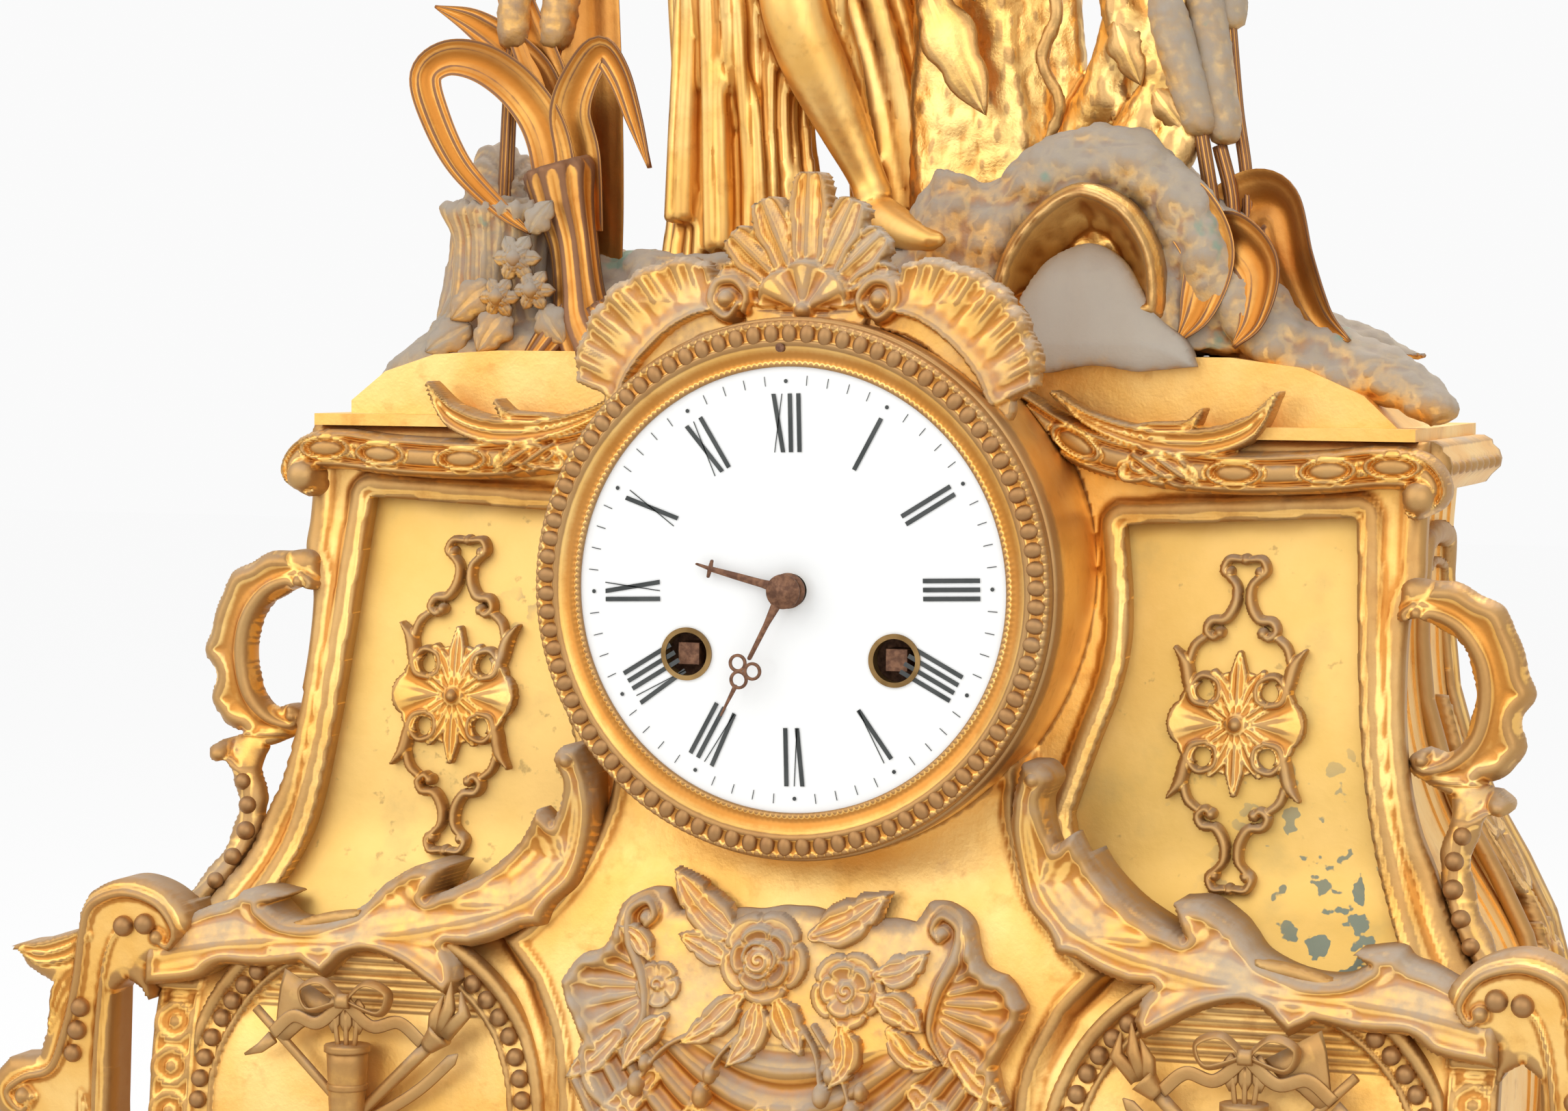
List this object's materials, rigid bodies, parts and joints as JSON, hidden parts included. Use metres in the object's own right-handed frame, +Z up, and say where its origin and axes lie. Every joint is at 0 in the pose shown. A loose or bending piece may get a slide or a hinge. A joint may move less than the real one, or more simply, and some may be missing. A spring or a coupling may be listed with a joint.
{
  "type": "figural mantel clock",
  "caption": "Gilt mantel clock: waisted scroll case with a drum dial, striking movement behind it, and a standing draped figure among reeds and rocks on top.",
  "frame": {"origin": "middle of the footprint, on the table under the feet", "axes": "+Z up, -Y out of the dial towards the viewer, +X to the viewer's right"},
  "size_m": [0.3612, 0.146, 0.4391],
  "materials": {
    "burnished_gilt": "polished gilding over brass",
    "matt_gilt": "matt gilding, dusty",
    "relief_gilt": "matt gilding with rubbed edges",
    "panel_brass": "pale rubbed gilding with spots",
    "rock_gilt": "dull gilding with dust and green patina",
    "figure_gilt": "matt gilding",
    "white_enamel": "glossy fired enamel on copper",
    "dark_brass": "darkened brass",
    "rusted_steel": "brown rusted steel",
    "movement_brass": "smooth brass",
    "movement_steel": "grained steel",
    "bell_metal": "cast bell metal"
  },
  "bodies": {
    "case": {"acanthus_left": "relief_gilt", "acanthus_right": "relief_gilt", "back_casting": "matt_gilt", "back_cock": "movement_brass", "back_plate": "movement_brass", "base_plinth": "matt_gilt", "bell": "bell_metal", "bell_stand": "movement_steel", "bezel_crest": "relief_gilt", "bezel_ring": "burnished_gilt", "cartouche": "relief_gilt", "case_bolts": "movement_steel", "corner_bracket_left": "relief_gilt", "corner_bracket_right": "relief_gilt", "cornice_left": "burnished_gilt", "cornice_right": "burnished_gilt", "dial_enamel": "white_enamel", "dial_pan": "dark_brass", "drum": "burnished_gilt", "figure": "figure_gilt", "front_casting": "matt_gilt", "front_plate": "movement_brass", "medallions": "relief_gilt", "movement_straps": "movement_steel", "panel_appliques": "relief_gilt", "panel_plates": "panel_brass", "rear_bezel": "matt_gilt", "reeds_left": "rock_gilt", "reeds_right": "rock_gilt", "rock_mound": "rock_gilt", "scroll_feet": "matt_gilt", "side_casting_left": "matt_gilt", "side_casting_right": "matt_gilt", "side_cornices": "burnished_gilt", "side_scroll_left": "relief_gilt", "side_scroll_right": "relief_gilt", "terrace_casting": "matt_gilt", "top_slab": "matt_gilt", "tree_trunk": "rock_gilt", "trophies": "relief_gilt", "winding_grommets": "dark_brass"},
    "minute_hand_arbor": {"centre_wheel": "movement_brass", "minute_hand": "rusted_steel"},
    "hour_hand_pipe": {"hour_wheel": "movement_brass", "hour_hand": "rusted_steel"},
    "minute_wheel": {"minute_wheel": "movement_brass"},
    "intermediate_arbor": {"intermediate_wheel": "movement_brass"},
    "going_barrel": {"going_barrel": "movement_brass"},
    "third_arbor": {"third_wheel": "movement_brass"},
    "escape_arbor": {"escape_wheel": "movement_brass"},
    "pin_wheel_arbor": {"pin_wheel": "movement_brass"},
    "strike_barrel": {"strike_barrel": "movement_brass"},
    "fly": {"fly": "movement_steel"},
    "going_winding_arbor": {"going_winding_arbor": "rusted_steel"},
    "strike_winding_arbor": {"strike_winding_arbor": "rusted_steel"},
    "pendulum": {"pendulum": "movement_steel", "anchor": "movement_steel"},
    "hammer": {"hammer": "movement_steel"},
    "regulator_arbor": {"regulator_arbor": "rusted_steel"},
    "rear_door": {"rear_door": "matt_gilt"}
  },
  "joints": [
    {"name": "minute_hand_turn", "type": "hinge", "parent": "case", "child": "minute_hand_arbor", "pos_m": [0, -0.035, 0.183], "axis": [0, 1, 0], "continuous": true},
    {"name": "hour_hand_turn", "type": "hinge", "parent": "case", "child": "hour_hand_pipe", "pos_m": [0, -0.035, 0.183], "axis": [0, 1, 0], "continuous": true},
    {"name": "minute_wheel_turn", "type": "hinge", "parent": "case", "child": "minute_wheel", "pos_m": [0, -0.035, 0.195], "axis": [0, 1, 0], "continuous": true},
    {"name": "intermediate_turn", "type": "hinge", "parent": "case", "child": "intermediate_arbor", "pos_m": [0.0155, -0.035, 0.18772], "axis": [0, 1, 0], "continuous": true},
    {"name": "going_barrel_turn", "type": "hinge", "parent": "case", "child": "going_barrel", "pos_m": [0.022, -0.035, 0.1695], "axis": [0, 1, 0], "continuous": true},
    {"name": "third_wheel_turn", "type": "hinge", "parent": "case", "child": "third_arbor", "pos_m": [-0.01027, -0.035, 0.19527], "axis": [0, 1, 0], "continuous": true},
    {"name": "escape_wheel_turn", "type": "hinge", "parent": "case", "child": "escape_arbor", "pos_m": [0, -0.035, 0.204], "axis": [0, 1, 0], "continuous": true},
    {"name": "pin_wheel_turn", "type": "hinge", "parent": "case", "child": "pin_wheel_arbor", "pos_m": [-0.02862, -0.035, 0.18768], "axis": [0, 1, 0], "continuous": true},
    {"name": "strike_barrel_turn", "type": "hinge", "parent": "case", "child": "strike_barrel", "pos_m": [-0.022, -0.035, 0.1695], "axis": [0, 1, 0], "continuous": true},
    {"name": "fly_turn", "type": "hinge", "parent": "case", "child": "fly", "pos_m": [-0.02987, -0.035, 0.20203], "axis": [0, 1, 0], "continuous": true},
    {"name": "going_winding", "type": "hinge", "parent": "case", "child": "going_winding_arbor", "pos_m": [0.022, -0.035, 0.1695], "axis": [0, 1, 0], "range_deg": [0, 1800]},
    {"name": "strike_winding", "type": "hinge", "parent": "case", "child": "strike_winding_arbor", "pos_m": [-0.022, -0.035, 0.1695], "axis": [0, 1, 0], "range_deg": [0, 1800]},
    {"name": "pendulum_swing", "type": "hinge", "parent": "case", "child": "pendulum", "pos_m": [0, -0.005, 0.219], "axis": [0, 1, 0], "range_deg": [-4, 4]},
    {"name": "hammer_lift", "type": "hinge", "parent": "case", "child": "hammer", "pos_m": [-0.04, -0.005, 0.175], "axis": [0, 1, 0], "range_deg": [-8, 0]},
    {"name": "regulator_turn", "type": "hinge", "parent": "case", "child": "regulator_arbor", "pos_m": [-0.0018, -0.035, 0.23181], "axis": [0, 1, 0], "range_deg": [-720, 720]},
    {"name": "rear_door_hinge", "type": "hinge", "parent": "case", "child": "rear_door", "pos_m": [-0.0528, 0.0648, 0.183], "axis": [0, 0, 1], "range_deg": [0, 110]}
  ],
  "couplings": [
    {"joint": "hour_hand_turn", "follows": "minute_hand_turn", "ratio": 0.083333},
    {"joint": "minute_wheel_turn", "follows": "minute_hand_turn", "ratio": -0.33333},
    {"joint": "intermediate_turn", "follows": "minute_hand_turn", "ratio": -0.125},
    {"joint": "going_barrel_turn", "follows": "minute_hand_turn", "ratio": 0.016447},
    {"joint": "third_wheel_turn", "follows": "minute_hand_turn", "ratio": -9},
    {"joint": "escape_wheel_turn", "follows": "minute_hand_turn", "ratio": 90},
    {"joint": "strike_barrel_turn", "follows": "pin_wheel_turn", "ratio": -0.13158},
    {"joint": "fly_turn", "follows": "pin_wheel_turn", "ratio": -8}
  ]
}
